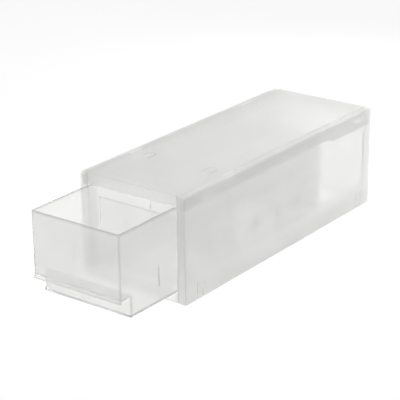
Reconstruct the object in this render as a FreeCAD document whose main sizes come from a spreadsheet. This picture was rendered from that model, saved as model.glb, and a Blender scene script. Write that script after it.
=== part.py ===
import FreeCAD, Part
import Sketcher
import os
import re
import math

# Stackable drawer box in frosted polypropylene. Five moulded panels snap together into a case.
# One drawer slides out of its front, with two dividers snapped into it, and four stacking keys
# are parked in slots in the top.
# Frame: origin at the middle of the case's base, +X to the right, +Y to the back, +Z up.
# The drawer is stored pulled out, as it stands in use.

# Driving dimensions in millimetres: name, value, what it is
DRIVING = (
    ("case_width", 140.0, "case across, outside"),
    ("case_depth", 370.0, "case front to back, outside"),
    ("case_height", 120.0, "case, ground to top"),
    ("shell_wall", 2.0, "wall of every case panel"),
    ("panel_fit", 0.15, "gap between panels that nest"),
    ("rim_width", 9.0, "turned-in rim of a side panel"),
    ("post_width", 11.2, "front post, its rim and sunk strip together"),
    ("strip_recess", 0.4, "how far the strip lies behind the rim"),
    ("return_wall", 1.8, "wall that turns back behind the strip"),
    ("return_depth", 13.0, "reach of that wall into the case"),
    ("rail_height", 12.0, "rail over the drawer"),
    ("sill_height", 11.5, "sill under the drawer"),
    ("top_skirt_depth", 15.0, "side skirt of the top, below the roof"),
    ("rear_skirt_depth", 20.0, "the same skirt towards the back"),
    ("rear_skirt_reach", 85.0, "that deeper part from the rear"),
    ("base_skirt_height", 16.0, "side skirt of the base, above the ground"),
    ("upright_height", 33.5, "corner upright of the base"),
    ("upright_depth", 15.0, "corner upright, front to back"),
    ("end_skirt_depth", 11.0, "skirt across the back, below the roof"),
    ("end_skirt_height", 11.3, "the same on the base"),
    ("back_flange_depth", 12.0, "side flange of the back panel"),
    ("back_flange_margin", 8.0, "its distance from the skirts"),
    ("catch_length", 22.0, "snap catch, front to back"),
    ("catch_height", 4.0, "snap catch, up and down"),
    ("catch_rise", 1.6, "snap catch, out of its wall"),
    ("catch_play", 0.5, "window around a catch"),
    ("catch_inset", 9.5, "middle of a catch from the roof or the ground"),
    ("catch_front", 42.0, "front catch from the front"),
    ("catch_rear", 28.0, "rear catch from the rear"),
    ("end_catch_setback", 30.8, "catch of the back panel from the opening's edge"),
    ("end_catch_length", 16.0, "catch of the back panel, across"),
    ("end_catch_height", 3.0, "catch of the back panel, up and down"),
    ("end_catch_inset", 7.0, "its middle from the roof or the ground"),
    ("end_catch_rise", 1.4, "catch of the back panel, out of its wall"),
    ("tongue_width", 8.4, "snap tongue between its slits"),
    ("tongue_height", 19.0, "snap tongue, ground to root"),
    ("tongue_slit", 1.6, "slit beside a tongue"),
    ("tongue_front", 25.5, "front tongue from the front"),
    ("tongue_rear", 26.5, "rear tongue from the rear"),
    ("tongue_catch_length", 7.0, "catch on a tongue"),
    ("slot_length", 22.4, "stacking slot, front to back"),
    ("slot_depth", 2.8, "stacking slot, into the rim"),
    ("slot_front", 86.0, "front stacking slot from the front"),
    ("slot_rear", 72.0, "rear stacking slot from the rear"),
    ("key_play", 0.2, "gap around a key"),
    ("stem_length", 16.0, "stem of a key, front to back"),
    ("stem_drop", 10.0, "stem of a key below its head"),
    ("barb_out", 0.5, "barb at each side of the stem"),
    ("barb_taper", 0.8, "lead-in at the stem's tip"),
    ("prong_gap", 3.0, "gap between the two prongs of a stem"),
    ("prong_bridge", 1.5, "stem above that gap"),
    ("runner_setback", 1.6, "outer face of a runner from the opening's edge"),
    ("runner_wall", 2.0, "runner rib"),
    ("runner_play", 0.2, "drawer above its runners"),
    ("fence_play", 0.2, "fence inside the opening's edge"),
    ("fence_wall", 1.8, "fence beside the drawer"),
    ("fence_height", 22.0, "fence, ground to top"),
    ("stop_setback", 16.8, "drawer stop from the opening's edge"),
    ("stop_reach", 85.0, "rear face of the stop's hook from the front"),
    ("stop_width", 10.0, "stop tongue across"),
    ("stop_slit", 1.2, "slit around the stop tongue"),
    ("stop_leg", 12.0, "straight part of that slit"),
    ("hook_width", 7.0, "hook under the stop tongue, across"),
    ("hook_wall", 2.0, "hook, front to back"),
    ("hook_overlap", 2.7, "how far the hook hangs below the drawer's top"),
    ("drawer_play", 1.1, "drawer inside the opening, each side"),
    ("drawer_end_play", 0.35, "shut drawer before the wings of the back"),
    ("drawer_lift", 12.5, "underside of the drawer above the ground"),
    ("drawer_top_gap", 0.8, "drawer below the rail"),
    ("drawer_wall", 1.8, "walls of the drawer"),
    ("drawer_floor", 1.8, "floor of the drawer"),
    ("drawer_open", 90.0, "how far the drawer is stored pulled out"),
    ("pull_depth", 16.0, "finger pull under the drawer's front"),
    ("pull_height", 23.1, "finger pull, underside of the drawer to its ceiling"),
    ("lip_drop", 3.3, "front wall below that ceiling"),
    ("bead_out", 1.2, "beads along the lip and the toe, out of their wall"),
    ("bead_height", 2.8, "bead along the lip"),
    ("foot_out", 0.3, "foot of the drawer beyond its walls"),
    ("foot_height", 3.3, "foot of the drawer"),
    ("toe_depth", 7.5, "toe under the finger pull, front to back"),
    ("window_first", 61.0, "first divider window from the drawer's front"),
    ("window_pitch", 43.2, "from one window to the next"),
    ("window_width", 3.0, "divider window, front to back"),
    ("window_rise", 18.0, "divider window above the drawer's underside"),
    ("window_height", 21.0, "divider window, up and down"),
    ("window_margin", 25.0, "least length of side behind the last window"),
    ("divider_wall", 1.6, "divider"),
    ("divider_play", 0.2, "divider inside the drawer"),
    ("tab_play", 0.3, "tab of a divider in its window"),
    ("divider_drop", 16.7, "top of a divider below the drawer's top"),
    ("divider_edge", 2.6, "thickened top edge of a divider"),
    ("divider_edge_height", 2.0, "the same, up and down"),
    ("edge_round", 1.2, "rounding of the case's outer edges"),
    ("drawer_round", 1.5, "rounding of the drawer's upright corners"),
    ("rim_round", 0.5, "rounding of thin edges"),
    ("cut_over", 1.0, "how far a cut runs past what it cuts"),
)

# Places worked out from the driving dimensions, for the right-hand half: name, formula
PLACES = (
    ("side", "case_width / 2"),
    ("front", "-case_depth / 2"),
    ("rear", "case_depth / 2"),
    ("side_inner", "side - shell_wall"),
    ("front_inner", "front + shell_wall"),
    ("rear_inner", "rear - shell_wall"),
    ("roof_inner", "case_height - shell_wall"),
    ("rim_edge", "side - rim_width"),
    ("opening_half", "side - post_width"),
    ("lip_half", "opening_half - panel_fit"),
    ("nest_outer", "side_inner - panel_fit"),
    ("nest_inner", "nest_outer - shell_wall"),
    ("field_half", "rim_edge - panel_fit"),
    ("step_half", "field_half - shell_wall"),
    ("front_nest", "front_inner + panel_fit"),
    ("rear_nest", "rear_inner - panel_fit"),
    ("rear_wing", "rear_nest - shell_wall"),
    ("skirt_end", "rear_wing - panel_fit"),
    ("roof_wing_top", "roof_inner - panel_fit"),
    ("roof_wing_low", "roof_wing_top - shell_wall"),
    ("base_wing_low", "shell_wall + panel_fit"),
    ("base_wing_top", "base_wing_low + shell_wall"),
    ("between_low", "base_wing_top + panel_fit"),
    ("between_high", "roof_wing_low - panel_fit"),
    ("lug_inner", "opening_half + return_wall + panel_fit"),
    ("top_skirt_low", "case_height - top_skirt_depth"),
    ("rear_skirt_low", "case_height - rear_skirt_depth"),
    ("rail_low", "case_height - rail_height"),
    ("end_skirt_half", "step_half - panel_fit"),
    ("slot_outer", "rim_edge + slot_depth"),
    ("slot_middle", "rim_edge + slot_depth / 2"),
    ("key_wall", "slot_depth - 2 * key_play"),
    ("key_half", "slot_length / 2 - key_play"),
    ("stem_half", "stem_length / 2"),
    ("prong_half", "prong_gap / 2"),
    ("stem_low", "roof_inner - stem_drop"),
    ("barb_top", "roof_wing_low - panel_fit"),
    ("runner_outer", "opening_half - runner_setback"),
    ("runner_top", "drawer_lift - runner_play"),
    ("fence_inner", "opening_half - fence_play"),
    ("drawer_half", "opening_half - drawer_play"),
    ("cavity_half", "drawer_half - drawer_wall"),
    ("drawer_top", "rail_low - drawer_top_gap"),
    ("drawer_front", "front - drawer_open"),
    ("drawer_length", "rear_wing - drawer_end_play - front"),
    ("drawer_rear", "drawer_front + drawer_length"),
    ("pull_back", "drawer_front + pull_depth"),
    ("pull_ceiling", "drawer_lift + pull_height"),
    ("floor_top", "drawer_lift + drawer_floor"),
    ("step_top", "pull_ceiling + drawer_floor"),
    ("lip_low", "pull_ceiling - lip_drop"),
    ("foot_top", "drawer_lift + foot_height"),
    ("window_low", "drawer_lift + window_rise"),
    ("window_high", "window_low + window_height"),
    ("divider_low", "floor_top + divider_play"),
    ("divider_half", "cavity_half - divider_play"),
    ("divider_top", "drawer_top - divider_drop"),
    ("tab_half", "drawer_half - tab_play"),
    ("hook_low", "drawer_top - hook_overlap"),
    ("stop_middle", "opening_half - stop_setback"),
    ("stop_front", "stop_reach - stop_leg"),
    ("end_catch_middle", "opening_half - end_catch_setback"),
)

# The divider windows that the two dividers sit in, counted from the front with the first as 0
FRONT_DIVIDER_WINDOW = 1
REAR_DIVIDER_WINDOW = 3

# An edge counts as straight along an axis, or as lying at a place, within these
STRAIGHT_SHARE = 0.999
PLACE_SHARE = 0.000001

doc = FreeCAD.newDocument("stackable_drawer_box")
sheet = doc.addObject("Spreadsheet::Sheet", "sizes")
for row, (name, value, meaning) in enumerate(DRIVING, start=1):
    sheet.set("A%d" % row, meaning)
    sheet.set("B%d" % row, str(value))
    sheet.setAlias("B%d" % row, name)
for row, (name, formula) in enumerate(PLACES, start=len(DRIVING) + 1):
    sheet.set("A%d" % row, name)
    sheet.set("B%d" % row, "=" + formula)
    sheet.setAlias("B%d" % row, name)
doc.recompute()


def bound(formula):
    """The formula with every name looked up in the sheet of sizes."""
    return re.sub(r"[a-z][a-z_]*", lambda word: "sizes." + word.group(), formula)


def size(name):
    """A size from the sheet as a plain number."""
    return float(getattr(sheet, name))


def around(middle, length):
    """The places half a length on either side of a middle."""
    return ("%s - %s / 2" % (middle, length), "%s + %s / 2" % (middle, length))


def widened(places, play):
    """The same two places, moved apart by a play at each end."""
    return (places[0] + " - " + play, places[1] + " + " + play)


def block(name, across, along, up):
    """A straight-sided block between two places along each axis."""
    solid = doc.addObject("Part::Box", name)
    for side, (low, high) in zip(("Length", "Width", "Height"), (across, along, up)):
        solid.setExpression(side, bound("(%s) - (%s)" % (high, low)))
    for axis, (low, high) in zip("xyz", (across, along, up)):
        solid.setExpression("Placement.Base." + axis, bound(low))
    return solid


def disc(name, middle, radius, up):
    """An upright round block about a middle."""
    solid = doc.addObject("Part::Cylinder", name)
    solid.setExpression("Radius", bound(radius))
    solid.setExpression("Height", bound("(%s) - (%s)" % (up[1], up[0])))
    for axis, place in zip("xyz", (middle[0], middle[1], up[0])):
        solid.setExpression("Placement.Base." + axis, bound(place))
    return solid


def together(name, solids):
    """Several solids moulded as one."""
    joined = doc.addObject("Part::MultiFuse", name)
    joined.Shapes = solids
    joined.Refine = True
    return joined


def cut_away(name, solid, cuts):
    """A solid with the cuts taken out of it."""
    result = doc.addObject("Part::Cut", name)
    result.Base = solid
    result.Tool = together(name + "_cuts", cuts)
    result.Refine = True
    return result


def mirror_image(name, solid):
    """The same piece on the other side of the middle."""
    image = doc.addObject("Part::Mirroring", name)
    image.Source = solid
    image.Normal = (1, 0, 0)
    return image


def both_sides(solids):
    """Each solid of the right-hand half with its mirror image."""
    return solids + [mirror_image(solid.Name + "_mirrored", solid) for solid in solids]


def same_place(value, place):
    return abs(abs(value) - abs(place)) < abs(place) * PLACE_SHARE


def edge_at(edge, run, **places):
    """Whether a straight edge runs along one axis and lies at the named places on the others."""
    if not isinstance(edge.Curve, Part.Line):
        return False
    reach = edge.Vertexes[-1].Point - edge.Vertexes[0].Point
    if abs(getattr(reach, run)) < reach.Length * STRAIGHT_SHARE:
        return False
    return all(same_place(getattr(edge.CenterOfMass, axis), size(place)) for axis, place in places.items())


def rounded(name, solid, radius, chosen):
    """The solid with its chosen edges rounded."""
    doc.recompute()
    result = doc.addObject("Part::Fillet", name)
    result.Base = solid
    result.Edges = [(number, size(radius), size(radius))
                    for number, edge in enumerate(solid.Shape.Edges, start=1) if chosen(edge)]
    return result


# Outlines drawn on a plane of a body and pushed out of it

def origin_plane(body, role):
    return [feature for feature in body.Origin.OriginFeatures if feature.Role == role][0]


def outline(body, role, name, corners):
    """A closed straight-sided outline whose corners are each held at their two places."""
    sketch = body.newObject("Sketcher::SketchObject", name)
    sketch.AttachmentSupport = [(origin_plane(body, role), "")]
    sketch.MapMode = "FlatFace"
    count = len(corners)
    turns = [2 * math.pi * number / count for number in range(count)]
    start = [FreeCAD.Vector(math.cos(turn), math.sin(turn), 0) for turn in turns]
    for number in range(count):
        sketch.addGeometry(Part.LineSegment(start[number], start[(number + 1) % count]), False)
    for number in range(count):
        sketch.addConstraint(Sketcher.Constraint("Coincident", number, 2, (number + 1) % count, 1))
    for number, corner in enumerate(corners):
        now = (start[number].x, start[number].y)
        for kind, place, value in zip(("DistanceX", "DistanceY"), corner, now):
            held = sketch.addConstraint(Sketcher.Constraint(kind, -1, 1, number, 1, value))
            sketch.setExpression("Constraints[%d]" % held, bound(place))
    return sketch


def mirrored(corners):
    """The corners of one half of an outline, mirrored and in the order that closes it."""
    return [("-(%s)" % first, second) for first, second in reversed(corners)]


def box_outline(body, role, name, first, second):
    """A rectangle between two places along each axis of the plane."""
    (left, right), (low, high) = first, second
    return outline(body, role, name, [(left, low), (right, low), (right, high), (left, high)])


def pad(body, name, sketch, width):
    """An outline pushed out both ways from its plane."""
    feature = body.newObject("PartDesign::Pad", name)
    feature.Profile = sketch
    feature.SideType = "Symmetric"
    feature.setExpression("Length", bound(width))
    return feature


def pocket(body, name, sketch, width):
    """An outline cut out both ways from its plane."""
    feature = body.newObject("PartDesign::Pocket", name)
    feature.Profile = sketch
    feature.SideType = "Symmetric"
    feature.setExpression("Length", bound(width))
    return feature


def fillet(body, name, radius, chosen):
    """The body's chosen edges rounded."""
    doc.recompute()
    last = body.Tip
    feature = body.newObject("PartDesign::Fillet", name)
    feature.Base = (last, ["Edge%d" % number for number, edge in enumerate(last.Shape.Edges, start=1)
                           if chosen(edge)])
    feature.setExpression("Radius", bound(radius))
    return feature


# Places shared by the catches and the windows that they snap into

TOP_CATCHES = (
    ("front + catch_front", "catch_length"),
    ("0", "catch_length"),
    ("rear - catch_rear", "catch_length"),
)
BASE_CATCHES = (
    ("front + tongue_front", "tongue_catch_length"),
    ("0", "catch_length"),
    ("rear - tongue_rear", "tongue_catch_length"),
)
SLOTS = ("front + slot_front", "rear - slot_rear")

# Places across shared by the panels that nest in the side panels
STEP_ACROSS = ("step_half", "field_half")
WING_ACROSS = ("step_half", "nest_outer")
SKIRT_ACROSS = ("nest_inner", "nest_outer")
LUG_ACROSS = ("lug_inner", "nest_outer")
LUG_ALONG = ("front_nest", "front_nest + shell_wall")
NEST_ALONG = ("front_nest", "rear_nest")
END_ALONG = ("rear_wing", "rear_nest")


def skirt_windows(name, catches, middle):
    """The windows in a side skirt for its catches."""
    windows = []
    for number, (place, length) in enumerate(catches):
        windows.append(block("%s_window_%d" % (name, number),
                             ("nest_inner - cut_over", "nest_outer + cut_over"),
                             widened(around(place, length), "catch_play"),
                             widened(around(middle, "catch_height"), "catch_play")))
    return windows


def stem_slots(name, up):
    """The slots that the stems of the stacking keys pass through."""
    return [block("%s_stem_slot_%d" % (name, number),
                  widened(around("slot_middle", "key_wall"), "key_play"),
                  widened(around(place, "stem_length"), "key_play"), up)
            for number, place in enumerate(SLOTS)]


def end_window(name, middle):
    """The window in an end skirt for a catch of the back panel."""
    return block(name, widened(around("end_catch_middle", "end_catch_length"), "catch_play"),
                 ("rear_wing - cut_over", "rear_nest + cut_over"),
                 widened(around(middle, "end_catch_height"), "catch_play"))


# Side panels: outer wall with a rim turned in all round, front post and snap catches

def side_panels():
    full_depth = ("front", "rear")
    full_height = ("0", "case_height")
    rim = ("rim_edge", "side")
    solids = [
        block("side_wall", ("side_inner", "side"), full_depth, full_height),
        block("side_top_rim", rim, full_depth, ("roof_inner", "case_height")),
        block("side_base_rim", rim, full_depth, ("0", "shell_wall")),
        block("side_front_rim", rim, ("front", "front_inner"), full_height),
        block("side_rear_rim", rim, ("rear_inner", "rear"), full_height),
        block("post_strip", ("opening_half", "rim_edge"),
              ("front + strip_recess", "front_inner"), full_height),
        block("post_return", ("opening_half", "opening_half + return_wall"),
              ("front + strip_recess", "front + return_depth"), ("between_low", "between_high")),
    ]
    rows = (("top", TOP_CATCHES, "case_height - catch_inset"), ("base", BASE_CATCHES, "catch_inset"))
    for name, catches, middle in rows:
        for number, (place, length) in enumerate(catches):
            solids.append(block("side_%s_catch_%d" % (name, number),
                                ("side_inner - catch_rise", "side_inner"),
                                around(place, length), around(middle, "catch_height")))
    notch = ("rim_edge - cut_over", "slot_outer")
    notch_top = ("roof_inner", "case_height + cut_over")
    notch_base = ("-cut_over", "shell_wall")
    cuts = []
    for number, place in enumerate(SLOTS):
        along = around(place, "slot_length")
        cuts.append(block("top_key_notch_%d" % number, notch, along, notch_top))
        cuts.append(block("base_key_notch_%d" % number, notch, along, notch_base))
    slit_across = ("rim_edge - cut_over", "side + cut_over")
    slit_up = ("-cut_over", "tongue_height")
    for number, place in enumerate(("front + tongue_front", "rear - tongue_rear")):
        tongue = around(place, "tongue_width")
        beyond = widened(tongue, "tongue_slit")
        cuts.append(block("tongue_slit_before_%d" % number, slit_across, (beyond[0], tongue[0]), slit_up))
        cuts.append(block("tongue_slit_behind_%d" % number, slit_across, (tongue[1], beyond[1]), slit_up))
    panel = cut_away("right_side_plain", together("right_side_moulding", solids), cuts)

    def outer_edge(edge):
        upright = any(edge_at(edge, "z", x="side", y=end) for end in ("front", "rear"))
        return upright or edge_at(edge, "y", x="side", z="case_height")

    right = rounded("right_side_panel", panel, "edge_round", outer_edge)
    left = mirror_image("left_side_panel", right)
    return right, left


# Top panel: field between the rims, wings nested under them, skirts, rail and two drawer stops

def drawer_stop():
    """A hook under the field, and the slit round it that lets it spring."""
    across = around("stop_middle", "stop_width")
    along = ("front + stop_front", "front + stop_reach")
    through = ("roof_wing_low", "case_height + cut_over")
    middle = ("stop_middle", "front + stop_reach")
    tongue = together("stop_tongue", [block("stop_tongue_leg", across, widened(along, "cut_over"), through),
                                      disc("stop_tongue_end", middle, "stop_width / 2", through)])
    room = together("stop_room", [block("stop_room_leg", widened(across, "stop_slit"), along, through),
                                  disc("stop_room_end", middle, "stop_width / 2 + stop_slit", through)])
    slit = doc.addObject("Part::Cut", "stop_slit_ring")
    slit.Base = room
    slit.Tool = tongue
    hook = block("stop_hook", around("stop_middle", "hook_width"),
                 ("front + stop_reach - hook_wall", "front + stop_reach"), ("hook_low", "roof_inner"))
    return hook, slit


def top_panel():
    wing_up = ("roof_wing_low", "roof_wing_top")
    skirt_up = ("top_skirt_low", "roof_wing_top")
    hook, slit = drawer_stop()
    half = [
        block("top_step", STEP_ACROSS, NEST_ALONG, ("roof_wing_low", "case_height")),
        block("top_wing", WING_ACROSS, NEST_ALONG, wing_up),
        block("top_skirt", SKIRT_ACROSS, ("front_nest", "skirt_end"), skirt_up),
        block("top_rear_skirt", SKIRT_ACROSS, ("rear - rear_skirt_reach", "skirt_end"),
              ("rear_skirt_low", "roof_wing_top")),
        block("top_lug", LUG_ACROSS, LUG_ALONG, skirt_up),
        hook,
    ]
    whole = [
        block("top_field", ("-field_half", "field_half"), ("front", "rear"), ("roof_inner", "case_height")),
        block("top_rail", ("-lip_half", "lip_half"), ("front", "front_inner"), ("rail_low", "case_height")),
        block("top_end_skirt", ("-end_skirt_half", "end_skirt_half"), END_ALONG,
              ("case_height - end_skirt_depth", "roof_inner")),
    ]
    cuts = [
        block("top_post_corner", ("lip_half", "field_half + cut_over"), ("front - cut_over", "front_nest"),
              ("roof_wing_low", "case_height + cut_over")),
        end_window("top_end_window", "case_height - end_catch_inset"),
        slit,
    ]
    cuts += skirt_windows("top", TOP_CATCHES, "case_height - catch_inset")
    cuts += stem_slots("top", widened(wing_up, "cut_over"))
    return cut_away("top_panel", together("top_moulding", whole + both_sides(half)), both_sides(cuts))


# Bottom panel: floor between the rims, wings over them, skirts, uprights, sill, runners and fences

def bottom_panel():
    wing_up = ("base_wing_low", "base_wing_top")
    upright_up = ("base_wing_low", "upright_height")
    half = [
        block("base_step", STEP_ACROSS, NEST_ALONG, ("0", "base_wing_top")),
        block("base_wing", WING_ACROSS, NEST_ALONG, wing_up),
        block("base_skirt", SKIRT_ACROSS, ("front_nest", "skirt_end"),
              ("base_wing_low", "base_skirt_height")),
        block("upright_face", LUG_ACROSS, LUG_ALONG, upright_up),
        block("upright_side", SKIRT_ACROSS, ("front_nest", "front_nest + upright_depth"), upright_up),
        block("runner", ("runner_outer - runner_wall", "runner_outer"), ("front_inner", "skirt_end"),
              ("shell_wall", "runner_top")),
        block("fence", ("fence_inner", "fence_inner + fence_wall"),
              ("front + return_depth + panel_fit", "skirt_end"), ("shell_wall", "fence_height")),
    ]
    whole = [
        block("base_field", ("-field_half", "field_half"), ("front", "rear"), ("0", "shell_wall")),
        block("sill", ("-lip_half", "lip_half"), ("front", "front_inner"), ("0", "sill_height")),
        block("base_end_skirt", ("-end_skirt_half", "end_skirt_half"), END_ALONG,
              ("shell_wall", "end_skirt_height")),
    ]
    cuts = [
        block("base_post_corner", ("lip_half", "field_half + cut_over"), ("front - cut_over", "front_nest"),
              ("-cut_over", "base_wing_top")),
        end_window("base_end_window", "end_catch_inset"),
    ]
    cuts += skirt_windows("base", BASE_CATCHES, "catch_inset")
    cuts += stem_slots("base", widened(wing_up, "cut_over"))
    return cut_away("bottom_panel", together("base_moulding", whole + both_sides(half)), both_sides(cuts))


# Back panel: field between the rear rims, wings nested behind them, flanges and catches

def back_panel():
    between = ("between_low", "between_high")
    half = [
        block("back_step", STEP_ACROSS, ("rear_wing", "rear"), between),
        block("back_wing", WING_ACROSS, END_ALONG, between),
        block("back_flange", SKIRT_ACROSS, ("rear_nest - back_flange_depth", "rear_nest"),
              ("base_skirt_height + back_flange_margin", "rear_skirt_low - back_flange_margin")),
    ]
    for name, middle in (("top", "case_height - end_catch_inset"), ("base", "end_catch_inset")):
        half.append(block("back_%s_catch" % name, around("end_catch_middle", "end_catch_length"),
                          ("rear_inner - end_catch_rise", "rear_inner"),
                          around(middle, "end_catch_height")))
    field = block("back_field", ("-field_half", "field_half"), ("rear_inner", "rear"),
                  ("base_wing_low", "roof_wing_top"))
    return together("back_panel", [field] + both_sides(half))


# Drawer: a tub whose front steps back at its foot into a finger pull

def upright_corner(edge):
    """The drawer's outer upright corners."""
    ends = ("drawer_front", "drawer_rear", "pull_back")
    return any(edge_at(edge, "z", x="drawer_half", y=end) for end in ends)


def drawer_tub():
    body = doc.addObject("PartDesign::Body", "drawer_tub")
    behind_front = "drawer_front + drawer_wall"
    behind_pull = "pull_back + drawer_wall"
    before_rear = "drawer_rear - drawer_wall"
    above_top = "drawer_top + cut_over"
    profile = outline(body, "YZ_Plane", "drawer_profile", [
        ("drawer_front", "drawer_top"), ("drawer_front", "lip_low"),
        (behind_front, "lip_low"), (behind_front, "pull_ceiling"),
        ("pull_back", "pull_ceiling"), ("pull_back", "drawer_lift"),
        ("drawer_rear", "drawer_lift"), ("drawer_rear", "drawer_top")])
    pad(body, "drawer_block", profile, "2 * drawer_half")
    fillet(body, "drawer_corners", "drawer_round", upright_corner)

    # The foot all along the drawer, the toe under the finger pull and the bead along the lip
    foot_up = ("drawer_lift", "foot_top")
    foot = box_outline(body, "YZ_Plane", "foot_profile", ("pull_back", "drawer_rear"), foot_up)
    pad(body, "drawer_foot", foot, "2 * (drawer_half + foot_out)")
    toe_along = ("pull_back - bead_out", "pull_back + toe_depth")
    toe = box_outline(body, "YZ_Plane", "toe_profile", toe_along, foot_up)
    pad(body, "drawer_toe", toe, "2 * (drawer_half + foot_out)")
    lip_along = ("drawer_front - bead_out", behind_front)
    lip = box_outline(body, "YZ_Plane", "lip_profile", lip_along, ("lip_low", "lip_low + bead_height"))
    pad(body, "drawer_lip", lip, "2 * drawer_half")

    cavity = outline(body, "YZ_Plane", "cavity_profile", [
        (behind_front, above_top), (behind_front, "step_top"),
        (behind_pull, "step_top"), (behind_pull, "floor_top"),
        (before_rear, "floor_top"), (before_rear, above_top)])
    pocket(body, "drawer_cavity", cavity, "2 * cavity_half")
    window_along = around("drawer_front + window_first", "window_width")
    window = box_outline(body, "YZ_Plane", "window_profile", window_along, ("window_low", "window_high"))
    first = pocket(body, "first_windows", window, "2 * (drawer_half + cut_over)")
    room = size("drawer_length") - size("window_first") - size("window_margin")
    more_windows = int(room / size("window_pitch"))
    row = body.newObject("PartDesign::LinearPattern", "window_row")
    row.Originals = [first]
    row.Direction = (origin_plane(body, "Y_Axis"), [""])
    row.setExpression("Length", bound("window_pitch * %d" % more_windows))
    row.Occurrences = more_windows + 1
    body.Tip = row
    return body


# Dividers: plates with a tab at each side that snaps into a window of the drawer

def divider(name, window):
    body = doc.addObject("PartDesign::Body", name)
    tab_low = "window_low + tab_play"
    tab_high = "window_high - tab_play"
    right = [
        ("divider_half", "divider_low"),
        ("divider_half", tab_low), ("tab_half", tab_low),
        ("tab_half", tab_high), ("divider_half", tab_high),
        ("divider_half", "divider_top")]
    plate = outline(body, "XZ_Plane", name + "_plate", right + mirrored(right))
    pad(body, name + "_wall", plate, "divider_wall")
    edge = box_outline(body, "XZ_Plane", name + "_edge", ("-divider_half", "divider_half"),
                       ("divider_top - divider_edge_height", "divider_top"))
    pad(body, name + "_rim", edge, "divider_edge")
    place = "drawer_front + window_first + %d * window_pitch" % window
    body.setExpression("Placement.Base.y", bound(place))
    return body


# Stacking keys: a head that fills the slot, and a split stem with barbs

def stacking_key(name, side, place):
    body = doc.addObject("PartDesign::Body", name)
    behind = [
        ("key_half", "case_height"), ("key_half", "roof_inner"),
        ("stem_half", "roof_inner"), ("stem_half", "barb_top"),
        ("stem_half + barb_out", "barb_top"), ("stem_half - barb_taper", "stem_low"),
        ("prong_half", "stem_low"), ("prong_half", "roof_inner - prong_bridge")]
    shape = outline(body, "YZ_Plane", name + "_outline", behind + mirrored(behind))
    pad(body, name + "_key", shape, "key_wall")

    def head_edge(edge):
        return edge_at(edge, "x", z="case_height") or edge_at(edge, "y", z="case_height")

    fillet(body, name + "_head", "rim_round", head_edge)
    body.setExpression("Placement.Base.x", bound(side + "slot_middle"))
    body.setExpression("Placement.Base.y", bound(place))
    return body


def stacking_keys():
    corners = (("left", "-"), ("right", ""))
    return [stacking_key("%s_%s_stacking_key" % (end, hand), sign, place)
            for end, place in zip(("front", "rear"), SLOTS) for hand, sign in corners]


pieces = [
    *side_panels(), top_panel(), bottom_panel(), back_panel(), drawer_tub(),
    divider("front_divider", FRONT_DIVIDER_WINDOW), divider("rear_divider", REAR_DIVIDER_WINDOW),
    *stacking_keys(),
]
doc.recompute()

# Nothing is written unless every piece and everything that it is made of came out sound
faulty = [item.Name for item in doc.Objects if "Invalid" in item.State or "Error" in item.State]
hollow = [piece.Name for piece in pieces if piece.Shape.isNull() or not piece.Shape.isValid()]
if faulty or hollow:
    raise ValueError("faulty: %s, no sound shape: %s" % (faulty, hollow))

os.makedirs("parts", exist_ok=True)
for piece in pieces:
    piece.Label = piece.Name
    piece.Shape.exportStep("parts/" + piece.Label + ".step")
    box = piece.Shape.BoundBox
    print("%-26s %d solid  %8.1f mm3  %s" % (piece.Label, len(piece.Shape.Solids), piece.Shape.Volume, box))
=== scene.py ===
import math

import bmesh
import bpy
from mathutils import Matrix, Vector
from mathutils.bvhtree import BVHTree


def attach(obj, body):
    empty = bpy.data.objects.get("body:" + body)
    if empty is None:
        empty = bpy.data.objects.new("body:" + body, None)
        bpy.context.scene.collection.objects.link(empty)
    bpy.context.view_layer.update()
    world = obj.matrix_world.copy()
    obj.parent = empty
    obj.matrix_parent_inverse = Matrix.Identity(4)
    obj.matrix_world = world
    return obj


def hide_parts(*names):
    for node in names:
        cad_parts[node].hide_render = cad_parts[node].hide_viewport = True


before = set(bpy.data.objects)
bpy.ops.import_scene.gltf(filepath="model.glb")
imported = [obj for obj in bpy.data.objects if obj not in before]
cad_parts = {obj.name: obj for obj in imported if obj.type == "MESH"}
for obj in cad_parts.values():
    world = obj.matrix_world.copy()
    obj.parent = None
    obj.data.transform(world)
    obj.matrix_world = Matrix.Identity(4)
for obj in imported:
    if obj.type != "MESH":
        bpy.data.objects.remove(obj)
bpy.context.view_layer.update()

# Bottom panel
# The floor that stands on the desk, with the front sill, two fenced runners and the corner uprights.
# It is one injection moulding of frosted polypropylene, and its skirts snap into the two side panels.
PANEL_EDGE = 0.0003
# Painted shade: how much darker the case's rims and rounded edges are, and the bottom panel where it nests in
# the side panels
CASE_RIM_SHADE, BASE_NEST_SHADE = 0.17, 0.10
BOTH_SIDES = ("left_side_panel", "right_side_panel")
BASE_PALE, BASE_DEEP = (0.930, 0.930, 0.923), (0.890, 0.890, 0.882)
BASE_CLEAR, BASE_MATT, CASE_PASSING = 0.72, 0.330, 0.98

SAME_PLACE, NO_LENGTH = 0.000002, 0.0000002
FLAT_ANGLE, SHARP_ANGLE = math.radians(0.6), math.radians(28)
EDGE_STEPS, EDGE_ROUNDNESS = 2, 0.5
RIM_WIDTH, NEST_GAP = 0.0021, 0.0004
LOOKS_AHEAD, FRONT_END = 0.9, -0.18


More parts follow.
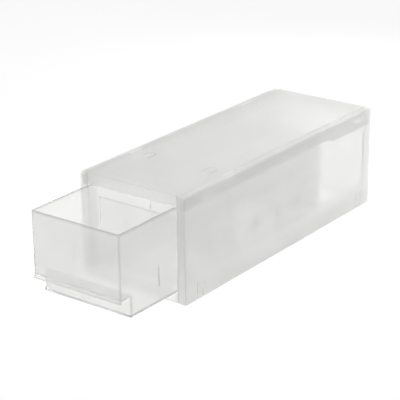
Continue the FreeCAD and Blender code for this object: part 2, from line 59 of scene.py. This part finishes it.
def moulded(node, edge, wall_shade, rim_shade, nest_shade=0, against=()):
    """A piece with its node's shape: whole flat faces, and every sharp edge rounded as the mould rounds it.

    Each face gets a depth, which is painted shade: the share by which its colour is darkened. Faces that look
    to the front get none, rims and rounded edges get the rim share, a wall against another piece's wall the
    nest share, and every other face the wall share.
    """
    neighbours = []
    for other in against:
        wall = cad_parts[other].data
        points, faces = [v.co for v in wall.vertices], [p.vertices for p in wall.polygons]
        neighbours.append(BVHTree.FromPolygons(points, faces))
    shape = bmesh.new()
    shape.from_mesh(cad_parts[node].data)
    bmesh.ops.remove_doubles(shape, verts=shape.verts, dist=SAME_PLACE)
    bmesh.ops.dissolve_limit(shape, angle_limit=FLAT_ANGLE, verts=shape.verts, edges=shape.edges)
    sharp = [e for e in shape.edges if len(e.link_faces) == 2 and e.calc_face_angle() > SHARP_ANGLE]
    bmesh.ops.bevel(
        shape, geom=sharp, offset=edge, segments=EDGE_STEPS, profile=EDGE_ROUNDNESS, affect="EDGES",
        clamp_overlap=True,
    )
    bmesh.ops.dissolve_degenerate(shape, edges=shape.edges, dist=NO_LENGTH)
    # Painted shade: darker rims, darker walls where pieces nest, and darker faces other than the front ones
    depth = shape.faces.layers.float.new("depth")
    for face in shape.faces:
        width = 2 * face.calc_area() / max(face.calc_perimeter(), SAME_PLACE)
        middle = face.calc_center_median()
        start = middle + face.normal * SAME_PLACE
        if width < RIM_WIDTH:
            face[depth] = rim_shade
        elif any(wall.ray_cast(start, face.normal, NEST_GAP)[0] for wall in neighbours):
            face[depth] = nest_shade
        elif face.normal.y > -LOOKS_AHEAD or middle.y > FRONT_END:
            face[depth] = wall_shade
    mesh = bpy.data.meshes.new(node + "_moulding")
    shape.to_mesh(mesh)
    shape.free()
    piece = bpy.data.objects.new(node + "_moulding", mesh)
    bpy.context.scene.collection.objects.link(piece)
    return piece


CLOUD_SIZE, CLOUD_SHARE = 0.06, 0.6
FLOW_SIZE, FLOW_SHARE, FLOW_STRETCH = 0.012, 0.4, (1, 0.07, 1)
NOISE_LOW, NOISE_HIGH = 0.35, 0.65
FINE_DETAIL, SOFT_DETAIL = 2, 1
MATT_SIZE, MATT_SPREAD = 0.004, 0.03
WAVE_SIZE, WAVE_DEPTH, WAVE_STRENGTH = 0.045, 0.00035, 0.25
GRAIN_SIZE, GRAIN_DEPTH, GRAIN_STRENGTH = 0.0012, 0.000003, 0.35
# The second number is the strength of a painted glow that the plastic gives off to diffuse rays
PLASTIC_BEND, DIFFUSE_RAY_GLOW = 1.18, 0.93


def frosted_polypropylene(name, pale, deep, clear, matt, passing, shaded_corners=(), corner_line_shade=0):
    """Milky plastic: a cloudy tint drawn out along the flow, fine grain, and walls that let light through.

    Each shaded corner, where one wall is seen along its length and the colour is darkened as painted shade,
    is a list of planes: an axis, a place and a reach.
    """
    material = bpy.data.materials.new(name)
    material.use_nodes = True
    nodes, links = material.node_tree.nodes, material.node_tree.links
    plastic = nodes["Principled BSDF"]
    place = nodes.new("ShaderNodeTexCoord").outputs["Object"]

    def noise(size, detail, stretch=(1, 1, 1)):
        """Noise whose patches are about size across, longer along an axis with a small stretch."""
        along = nodes.new("ShaderNodeMapping")
        along.inputs["Scale"].default_value = [share / size for share in stretch]
        links.new(place, along.inputs["Vector"])
        pattern = nodes.new("ShaderNodeTexNoise")
        pattern.inputs["Scale"].default_value = 1
        pattern.inputs["Detail"].default_value = detail
        links.new(along.outputs["Vector"], pattern.inputs["Vector"])
        return pattern.outputs["Fac"]

    def spread(value, low, high):
        """The middle of a noise's range, spread from low to high."""
        span = nodes.new("ShaderNodeMapRange")
        span.inputs["From Min"].default_value, span.inputs["From Max"].default_value = NOISE_LOW, NOISE_HIGH
        span.inputs["To Min"].default_value, span.inputs["To Max"].default_value = low, high
        links.new(value, span.inputs["Value"])
        return span.outputs["Result"]

    def calculate(operation, *values):
        """One Math node, with each value a number or a socket."""
        step = nodes.new("ShaderNodeMath")
        step.operation = operation
        for socket, value in zip(step.inputs, values):
            if isinstance(value, (int, float)):
                socket.default_value = value
            else:
                links.new(value, socket)
        return step.outputs[0]

    def uneven(size, detail, strength, depth):
        """A surface that stands up and down by depth, in patches about size across."""
        bump = nodes.new("ShaderNodeBump")
        bump.inputs["Strength"].default_value, bump.inputs["Distance"].default_value = strength, depth
        links.new(noise(size, detail), bump.inputs["Height"])
        return bump

    # Cloudy patches and faint flow lines, front to back
    clouds = spread(noise(CLOUD_SIZE, FINE_DETAIL), 0, CLOUD_SHARE)
    flow_lines = spread(noise(FLOW_SIZE, FINE_DETAIL, FLOW_STRETCH), 0, FLOW_SHARE)
    tint = nodes.new("ShaderNodeMix")
    tint.data_type = "RGBA"
    tint.inputs["A"].default_value, tint.inputs["B"].default_value = (*deep, 1), (*pale, 1)
    links.new(calculate("ADD", clouds, flow_lines), tint.inputs["Factor"])

    # Painted shade: the colour is darkened by each face's depth, and along the corners on both sides, where a
    # wall is seen along its length
    apart = nodes.new("ShaderNodeSeparateXYZ")
    links.new(place, apart.inputs[0])
    axes = {"x": calculate("ABSOLUTE", apart.outputs["X"]), "y": apart.outputs["Y"], "z": apart.outputs["Z"]}
    mark = nodes.new("ShaderNodeAttribute")
    mark.attribute_name = "depth"
    depth = mark.outputs["Fac"]
    for corner in shaded_corners:
        line = corner_line_shade
        for axis, plane, reach in corner:
            away = calculate("ABSOLUTE", calculate("SUBTRACT", axes[axis], plane))
            nearness = calculate("SUBTRACT", 1, calculate("DIVIDE", away, reach))
            line = calculate("MULTIPLY", calculate("MAXIMUM", nearness, 0), line)
        depth = calculate("MAXIMUM", depth, line)
    painted_shade = nodes.new("ShaderNodeMix")
    painted_shade.data_type, painted_shade.blend_type = "RGBA", "MULTIPLY"
    painted_shade.inputs["B"].default_value = (0, 0, 0, 1)
    links.new(depth, painted_shade.inputs["Factor"])
    links.new(tint.outputs["Result"], painted_shade.inputs["A"])
    links.new(painted_shade.outputs["Result"], plastic.inputs["Base Color"])

    # Matt grain from the mould's etched face, over walls that are not quite flat
    sheen = spread(noise(MATT_SIZE, SOFT_DETAIL), matt - MATT_SPREAD, matt + MATT_SPREAD)
    links.new(sheen, plastic.inputs["Roughness"])
    wave = uneven(WAVE_SIZE, SOFT_DETAIL, WAVE_STRENGTH, WAVE_DEPTH)
    grain = uneven(GRAIN_SIZE, FINE_DETAIL, GRAIN_STRENGTH, GRAIN_DEPTH)
    links.new(wave.outputs["Normal"], grain.inputs["Normal"])
    links.new(grain.outputs["Normal"], plastic.inputs["Normal"])
    plastic.inputs["IOR"].default_value = PLASTIC_BEND
    plastic.inputs["Transmission Weight"].default_value = clear

    # A lamp shines straight through a wall and loses a little at each face. To diffuse rays the wall is a
    # painted glow,
    #     an emission that stands for the light that milky plastic scatters from face to face
    through = nodes.new("ShaderNodeBsdfTransparent")
    through.inputs["Color"].default_value = (passing, passing, passing, 1)
    painted_glow = nodes.new("ShaderNodeEmission")
    painted_glow.inputs["Strength"].default_value = DIFFUSE_RAY_GLOW
    ray = nodes.new("ShaderNodeLightPath")
    shown = plastic.outputs["BSDF"]
    for kind, met in (("Is Shadow Ray", through), ("Is Diffuse Ray", painted_glow)):
        pick = nodes.new("ShaderNodeMixShader")
        links.new(ray.outputs[kind], pick.inputs[0])
        links.new(shown, pick.inputs[1])
        links.new(met.outputs[0], pick.inputs[2])
        shown = pick.outputs[0]
    links.new(shown, nodes["Material Output"].inputs["Surface"])
    return material


base_plastic = frosted_polypropylene(
    "frosted_base_plastic", BASE_PALE, BASE_DEEP, BASE_CLEAR, BASE_MATT, CASE_PASSING
)
bottom_panel = moulded("bottom_panel", PANEL_EDGE, 0, CASE_RIM_SHADE, BASE_NEST_SHADE, BOTH_SIDES)
bottom_panel.data.materials.append(base_plastic)
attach(bottom_panel, "case")
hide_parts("bottom_panel")

RING_RADIUS, RING_WIDTH = 0.003, 0.00024
RING_CORNERS, PROFILE_CORNERS = 24, 6


def pin_marks(name, places, facing, plastic):
    """The faint raised rings that the mould's ejector pins leave on a piece's inner face."""
    tree = bpy.data.node_groups.new(name + "_rings", "GeometryNodeTree")
    face = tree.interface
    face.new_socket("Geometry", in_out="INPUT", socket_type="NodeSocketGeometry")
    radius = face.new_socket("Ring radius", in_out="INPUT", socket_type="NodeSocketFloat")
    width = face.new_socket("Ring width", in_out="INPUT", socket_type="NodeSocketFloat")
    face.new_socket("Geometry", in_out="OUTPUT", socket_type="NodeSocketGeometry")
    nodes, links = tree.nodes, tree.links
    given, made = nodes.new("NodeGroupInput"), nodes.new("NodeGroupOutput")
    circle = nodes.new("GeometryNodeCurvePrimitiveCircle")
    circle.inputs["Resolution"].default_value = RING_CORNERS
    profile = nodes.new("GeometryNodeCurvePrimitiveCircle")
    profile.inputs["Resolution"].default_value = PROFILE_CORNERS
    half = nodes.new("ShaderNodeMath")
    half.operation = "MULTIPLY"
    half.inputs[1].default_value = 0.5
    ring, turn = nodes.new("GeometryNodeCurveToMesh"), nodes.new("FunctionNodeAlignRotationToVector")
    turn.axis = "Z"
    outwards = nodes.new("GeometryNodeInputNamedAttribute")
    outwards.data_type = "FLOAT_VECTOR"
    outwards.inputs["Name"].default_value = "facing"
    each, real = nodes.new("GeometryNodeInstanceOnPoints"), nodes.new("GeometryNodeRealizeInstances")
    finish = nodes.new("GeometryNodeSetMaterial")
    finish.inputs["Material"].default_value = plastic
    links.new(given.outputs["Ring radius"], circle.inputs["Radius"])
    links.new(given.outputs["Ring width"], half.inputs[0])
    links.new(half.outputs[0], profile.inputs["Radius"])
    links.new(circle.outputs["Curve"], ring.inputs["Curve"])
    links.new(profile.outputs["Curve"], ring.inputs["Profile Curve"])
    links.new(outwards.outputs["Attribute"], turn.inputs["Vector"])
    links.new(given.outputs["Geometry"], each.inputs["Points"])
    links.new(ring.outputs["Mesh"], each.inputs["Instance"])
    links.new(turn.outputs["Rotation"], each.inputs["Rotation"])
    links.new(each.outputs["Instances"], real.inputs["Geometry"])
    links.new(real.outputs["Geometry"], finish.inputs["Geometry"])
    links.new(finish.outputs["Geometry"], made.inputs["Geometry"])

    spots = bpy.data.meshes.new(name + "_places")
    spots.from_pydata(places, [], [])
    way = spots.attributes.new("facing", "FLOAT_VECTOR", "POINT")
    for item, direction in zip(way.data, facing):
        item.vector = direction
    marks = bpy.data.objects.new(name, spots)
    bpy.context.scene.collection.objects.link(marks)
    rings = marks.modifiers.new("rings", "NODES")
    rings.node_group = tree
    rings[radius.identifier], rings[width.identifier] = RING_RADIUS, RING_WIDTH
    ready = bpy.data.meshes.new_from_object(marks.evaluated_get(bpy.context.evaluated_depsgraph_get()))
    marks.modifiers.remove(rings)
    marks.data = ready
    return marks


FLOOR_TOP, FLOOR_PIN_X = 0.002, 0.035
CASE_PIN_ROWS = (-0.150, -0.090, -0.030, 0.030, 0.090, 0.150)
bottom_places = [(x, y, FLOOR_TOP) for y in CASE_PIN_ROWS for x in (-FLOOR_PIN_X, FLOOR_PIN_X)]
bottom_marks = pin_marks("bottom_pin_marks", bottom_places, [(0, 0, 1)] * len(bottom_places), base_plastic)
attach(bottom_marks, "case")

# Back panel
# The plain plate that closes the case, moulded from the same frosted polypropylene as the bottom panel.
# It is pushed in from behind, and the catches on its flanges snap into the top and the bottom.
back_panel = moulded("back_panel", PANEL_EDGE, 0, CASE_RIM_SHADE)
back_panel.data.materials.append(base_plastic)
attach(back_panel, "case")
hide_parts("back_panel")

BACK_INNER, BACK_PIN_X, BACK_PIN_HEIGHTS = 0.183, 0.035, (0.04, 0.08)
back_places = [(x, BACK_INNER, z) for z in BACK_PIN_HEIGHTS for x in (-BACK_PIN_X, BACK_PIN_X)]
back_marks = pin_marks("back_pin_marks", back_places, [(0, -1, 0)] * len(back_places), base_plastic)
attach(back_marks, "case")

# Side panels
# Two mouldings of frosted polypropylene, mirror images: an outer wall with turned-in rims all round, and a
# front post with a sunk strip. Snap tongues between slits at the foot fix them to the bottom panel.
CASE_HALF_WIDTH, CASE_FRONT, CASE_BACK, CASE_TOP = 0.070, -0.185, 0.185, 0.120
# Painted shade along the case's outer corners, where a wall is seen along its length
CORNER_REACH, CASE_CORNER_SHADE = 0.0018, 0.10
CASE_SHADED_CORNERS = [
    (("x", CASE_HALF_WIDTH, CORNER_REACH), ("y", CASE_FRONT, CORNER_REACH)),
    (("x", CASE_HALF_WIDTH, CORNER_REACH), ("y", CASE_BACK, CORNER_REACH)),
    (("x", CASE_HALF_WIDTH, CORNER_REACH), ("z", CASE_TOP, CORNER_REACH)),
    (("y", CASE_BACK, CORNER_REACH), ("z", CASE_TOP, CORNER_REACH)),
]
# Painted shade on every face of the side panels but those that look to the front
SIDE_SHADE = 0.09
# The side panels' tint is set a little deeper than the bottom panel's, as painted shade
SIDE_PALE, SIDE_DEEP = (0.920, 0.920, 0.913), (0.880, 0.880, 0.872)
SIDE_CLEAR, SIDE_MATT = 0.94, 0.360
side_plastic = frosted_polypropylene(
    "frosted_side_plastic", SIDE_PALE, SIDE_DEEP, SIDE_CLEAR, SIDE_MATT, CASE_PASSING,
    CASE_SHADED_CORNERS, CASE_CORNER_SHADE,
)
for hand in ("right", "left"):
    side_panel = moulded(hand + "_side_panel", PANEL_EDGE, SIDE_SHADE, CASE_RIM_SHADE)
    side_panel.data.materials.append(side_plastic)
    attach(side_panel, "case")
    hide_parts(hand + "_side_panel")

SIDE_INNER, SIDE_PIN_ROWS, SIDE_PIN_HEIGHTS = 0.068, (-0.12, -0.04, 0.04, 0.12), (0.048, 0.084)
side_places = [(x, y, z) for x in (-SIDE_INNER, SIDE_INNER) for y in SIDE_PIN_ROWS for z in SIDE_PIN_HEIGHTS]
side_facing = [(-math.copysign(1, x), 0, 0) for x, y, z in side_places]
side_marks = pin_marks("side_pin_marks", side_places, side_facing, side_plastic)
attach(side_marks, "case")

# Top panel
# A flat field between the rims of the sides, with a rail over the drawer and skirts that nest inside them,
# moulded from frosted polypropylene. Two tongues with rounded ends, and a hook under each, stop the drawer.
# Painted shade on every face of the top panel but those that look to the front, and more where its skirts lie
# against the side panels
TOP_SHADE, TOP_NEST_SHADE = 0.12, 0.22
# The top panel's tint is set a little deeper than the bottom panel's, as painted shade
TOP_PALE, TOP_DEEP = (0.915, 0.915, 0.908), (0.875, 0.875, 0.867)
TOP_CLEAR, TOP_MATT = 0.80, 0.315
top_plastic = frosted_polypropylene(
    "frosted_top_plastic", TOP_PALE, TOP_DEEP, TOP_CLEAR, TOP_MATT, CASE_PASSING
)
top_panel = moulded("top_panel", PANEL_EDGE, TOP_SHADE, CASE_RIM_SHADE, TOP_NEST_SHADE, BOTH_SIDES)
top_panel.data.materials.append(top_plastic)
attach(top_panel, "case")
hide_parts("top_panel")

TOP_UNDERSIDE, TOP_PIN_X = 0.118, 0.018
top_places = [(x, y, TOP_UNDERSIDE) for y in CASE_PIN_ROWS for x in (-TOP_PIN_X, TOP_PIN_X)]
top_marks = pin_marks("top_pin_marks", top_places, [(0, 0, -1)] * len(top_places), top_plastic)
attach(top_marks, "case")

# Stacking keys
# Four small T-shaped keys of polypropylene, whiter and less clear than the case, each moulded in one piece: a
# painted highlight for the glints along the slots of the top.
# They are pressed by hand into the slots of the top, as spares for the box that is stacked above.
KEY_EDGE = 0.00018
# Pure white and opaque: a painted highlight for the glints along the slots
KEY_PALE, KEY_DEEP = (1.000, 1.000, 0.995), (0.990, 0.990, 0.985)
KEY_CLEAR, KEY_MATT, KEY_PASSING = 0.0, 0.310, 0.99
key_glint_plastic = frosted_polypropylene(
    "frosted_key_plastic", KEY_PALE, KEY_DEEP, KEY_CLEAR, KEY_MATT, KEY_PASSING
)
for end in ("front", "rear"):
    for hand in ("left", "right"):
        name = end + "_" + hand + "_stacking_key"
        key = moulded(name, KEY_EDGE, 0, 0)
        key.data.materials.append(key_glint_plastic)
        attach(key, "case")
        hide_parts(name)

# Drawer tub
# The drawer in one moulding, with its stepped front, foot, lip bead and the windows that hold dividers.
# Its polypropylene is smoother and clearer than the case's. It slides on the bottom panel's runners.
# The drawer's rim and line shares are painted shade: darker rims, and darker lines along its corners
DRAWER_EDGE, DRAWER_RIM_SHADE, DRAWER_LINE_SHADE = 0.0003, 0.22, 0.36
DRAWER_HALF_WIDTH, DRAWER_FRONT, DRAWER_BACK, DRAWER_TOP = 0.0577, -0.275, 0.0905, 0.1072
SHELF_HEIGHT, SHELF_MIDDLE, SHELF_REACH = 0.0356, -0.268, 0.012
FOOT_FRONT, FOOT_MIDDLE, FOOT_REACH = -0.258, 0.023, 0.020
RIM_REACH, LINE_REACH = 0.0030, 0.0026
# Painted shade along the drawer's corners and rims, and along lines on its sides at the shelf and at the foot
DRAWER_SHADED_CORNERS = [
    (("x", DRAWER_HALF_WIDTH, LINE_REACH), ("y", DRAWER_FRONT, LINE_REACH)),
    (("x", DRAWER_HALF_WIDTH, LINE_REACH), ("y", DRAWER_BACK, LINE_REACH)),
    (("x", DRAWER_HALF_WIDTH, RIM_REACH), ("z", DRAWER_TOP, RIM_REACH)),
    (("y", DRAWER_FRONT, RIM_REACH), ("z", DRAWER_TOP, RIM_REACH)),
    (("y", DRAWER_BACK, RIM_REACH), ("z", DRAWER_TOP, RIM_REACH)),
    (("x", DRAWER_HALF_WIDTH, LINE_REACH), ("z", SHELF_HEIGHT, LINE_REACH), ("y", SHELF_MIDDLE, SHELF_REACH)),
    (("x", DRAWER_HALF_WIDTH, LINE_REACH), ("y", FOOT_FRONT, LINE_REACH), ("z", FOOT_MIDDLE, FOOT_REACH)),
]
DRAWER_PALE, DRAWER_DEEP = (0.845, 0.845, 0.838), (0.805, 0.805, 0.797)
DRAWER_CLEAR, DRAWER_MATT, DRAWER_PASSING = 0.79, 0.225, 0.99
drawer_plastic = frosted_polypropylene(
    "frosted_drawer_plastic", DRAWER_PALE, DRAWER_DEEP, DRAWER_CLEAR, DRAWER_MATT, DRAWER_PASSING,
    DRAWER_SHADED_CORNERS, DRAWER_LINE_SHADE,
)
drawer_tub = moulded("drawer_tub", DRAWER_EDGE, 0, DRAWER_RIM_SHADE)
drawer_tub.data.materials.append(drawer_plastic)
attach(drawer_tub, "drawer")
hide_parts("drawer_tub")

DRAWER_FLOOR, DRAWER_PIN_X = 0.0143, 0.038
DRAWER_PIN_ROWS = (-0.236, -0.192, -0.150, -0.106, -0.062, -0.018, 0.026, 0.070)
drawer_places = [(x, y, DRAWER_FLOOR) for y in DRAWER_PIN_ROWS for x in (-DRAWER_PIN_X, DRAWER_PIN_X)]
drawer_marks = pin_marks("drawer_pin_marks", drawer_places, [(0, 0, 1)] * len(drawer_places), drawer_plastic)
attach(drawer_marks, "drawer")

# Dividers
# Two thin plates with a thickened top edge, moulded from the same smooth plastic as the drawer.
# They are loose: a tab at each side holds them in a window of the drawer, and they pull out by hand.
# The dividers' rim share is painted shade: darker rims
DIVIDER_EDGE, DIVIDER_RIM_SHADE = 0.0002, 0.12
# Set paler than the drawer's plastic, though it is the same: painted light for the light that falls on the
# dividers through the drawer's open top
DIVIDER_PALE, DIVIDER_DEEP = (0.890, 0.890, 0.883), (0.860, 0.860, 0.852)
DIVIDER_CLEAR, DIVIDER_MATT, DIVIDER_PASSING = 0.82, 0.225, 0.99
divider_plastic = frosted_polypropylene(
    "frosted_divider_plastic", DIVIDER_PALE, DIVIDER_DEEP, DIVIDER_CLEAR, DIVIDER_MATT, DIVIDER_PASSING
)
for end in ("front", "rear"):
    divider = moulded(end + "_divider", DIVIDER_EDGE, 0, DIVIDER_RIM_SHADE)
    divider.data.materials.append(divider_plastic)
    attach(divider, "drawer")
    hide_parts(end + "_divider")

# Studio floor
# A plain white matt floor that runs out of view, a hair below the box. It is a little brighter to the camera,
# and through the plastic, than it is as light, so it looks white and still keeps a faint shadow of the box.
FLOOR_RADIUS, FLOOR_CORNERS, FLOOR_GAP = 8.0, 96, 0.0002
FLOOR_WHITE, FLOOR_MATT, FLOOR_SHEEN = 0.92, 0.8, 0.2
FLOOR_LIFT, FLOOR_GLOW = 0.22, 0.38
floor_mesh = bpy.data.meshes.new("studio_floor")
disc = bmesh.new()
bmesh.ops.create_circle(disc, cap_ends=True, segments=FLOOR_CORNERS, radius=FLOOR_RADIUS)
disc.to_mesh(floor_mesh)
disc.free()
floor_mesh.transform(Matrix.Translation((0, 0, -FLOOR_GAP)))
floor = bpy.data.objects.new("studio_floor", floor_mesh)
bpy.context.scene.collection.objects.link(floor)

floor_white = bpy.data.materials.new("studio_floor_white")
floor_white.use_nodes = True
nodes, links = floor_white.node_tree.nodes, floor_white.node_tree.links
paint = nodes["Principled BSDF"]
paint.inputs["Base Color"].default_value = (FLOOR_WHITE, FLOOR_WHITE, FLOOR_WHITE, 1)
paint.inputs["Roughness"].default_value = FLOOR_MATT
paint.inputs["Specular IOR Level"].default_value = FLOOR_SHEEN
paint.inputs["Emission Color"].default_value = (1, 1, 1, 1)
ray = nodes.new("ShaderNodeLightPath")
seen = nodes.new("ShaderNodeMath")
seen.operation = "MULTIPLY"
seen.inputs[1].default_value = FLOOR_LIFT
links.new(ray.outputs["Is Camera Ray"], seen.inputs[0])
lift = nodes.new("ShaderNodeMath")
lift.operation = "MULTIPLY_ADD"
lift.inputs[1].default_value = FLOOR_GLOW
links.new(ray.outputs["Is Transmission Ray"], lift.inputs[0])
links.new(seen.outputs[0], lift.inputs[2])
links.new(lift.outputs[0], paint.inputs["Emission Strength"])
floor_mesh.materials.append(floor_white)

# Studio light
# White surroundings, which light the box less from its front right than from behind on the left, and look
# white all round. A soft lamp stands behind, a wide weak one in front and a small one at the rear right.
SKY_FRONT_RIGHT, SKY_BEHIND = 0.52, 1.02
FRONT_RIGHT = (0.6, -0.8, 0.0)
WITH_IT, AGAINST_IT = 1, -1
world = bpy.data.worlds.new("studio")
bpy.context.scene.world = world
world.use_nodes = True
nodes, links = world.node_tree.nodes, world.node_tree.links
light = nodes["Background"]
light.inputs["Color"].default_value = (1, 1, 1, 1)
way = nodes.new("ShaderNodeTexCoord")
share = nodes.new("ShaderNodeVectorMath")
share.operation = "DOT_PRODUCT"
share.inputs[1].default_value = FRONT_RIGHT
links.new(way.outputs["Generated"], share.inputs[0])
fall = nodes.new("ShaderNodeMapRange")
fall.inputs["From Min"].default_value, fall.inputs["From Max"].default_value = AGAINST_IT, WITH_IT
fall.inputs["To Min"].default_value, fall.inputs["To Max"].default_value = SKY_BEHIND, SKY_FRONT_RIGHT
links.new(share.outputs["Value"], fall.inputs["Value"])
links.new(fall.outputs["Result"], light.inputs["Strength"])
white = nodes.new("ShaderNodeBackground")
white.inputs["Color"].default_value = (1, 1, 1, 1)
white.inputs["Strength"].default_value = 1.0
ray = nodes.new("ShaderNodeLightPath")
shown = light.outputs[0]
for kind in ("Is Camera Ray", "Is Glossy Ray", "Is Transmission Ray"):
    pick = nodes.new("ShaderNodeMixShader")
    links.new(ray.outputs[kind], pick.inputs[0])
    links.new(shown, pick.inputs[1])
    links.new(white.outputs[0], pick.inputs[2])
    shown = pick.outputs[0]
links.new(shown, nodes["World Output"].inputs["Surface"])

# Each lamp's place and width in metres, and its watts
LAMPS = {
    "lamp_behind": ((-0.15, 0.65, 0.50), 0.5, 0.7),
    "lamp_front": ((-0.25, -1.40, 0.35), 0.9, 1.8),
    "lamp_rear_right": ((0.50, 0.50, 0.20), 0.3, 0.7),
}
LIT_POINT = Vector((0, 0, 0.05))
for name, (place, width, watts) in LAMPS.items():
    lamp_data = bpy.data.lights.new(name, "AREA")
    lamp_data.shape = "DISK"
    lamp_data.size, lamp_data.energy = width, watts
    lamp = bpy.data.objects.new(name, lamp_data)
    lamp.location = place
    lamp.visible_camera = False
    lamp.rotation_mode = "QUATERNION"
    lamp.rotation_quaternion = (LIT_POINT - Vector(place)).to_track_quat("-Z", "Y")
    bpy.context.scene.collection.objects.link(lamp)

# Camera
# It looks down on the drawer's front right corner from where the photograph was taken.
# The lens is long, the frame turned by half a degree, and there is no shift and no depth of field.
CAMERA_PLACE = Vector((0.9265, -1.2993, 0.6651))
AZIMUTH, ELEVATION, ROLL = math.radians(-36.91), math.radians(21.26), math.radians(-0.55)
SENSOR_WIDTH, LENS_LENGTH = 36.0, 134.23
NEAREST, FARTHEST = 0.05, 60.0
camera_data = bpy.data.cameras.new("camera")
camera_data.sensor_width, camera_data.lens = SENSOR_WIDTH, LENS_LENGTH
camera_data.clip_start, camera_data.clip_end = NEAREST, FARTHEST
camera = bpy.data.objects.new("camera", camera_data)
level = Vector((math.cos(AZIMUTH), -math.sin(AZIMUTH), 0.0))
ahead = Vector((math.sin(AZIMUTH), math.cos(AZIMUTH), 0.0)) * math.cos(ELEVATION)
ahead.z = -math.sin(ELEVATION)
upright = level.cross(ahead)
right = level * math.cos(ROLL) + upright * math.sin(ROLL)
up = upright * math.cos(ROLL) - level * math.sin(ROLL)
camera.matrix_world = Matrix.Translation(CAMERA_PLACE) @ Matrix((right, up, -ahead)).transposed().to_4x4()
bpy.context.scene.collection.objects.link(camera)
bpy.context.scene.camera = camera
bpy.context.scene.view_settings.view_transform = "Standard"
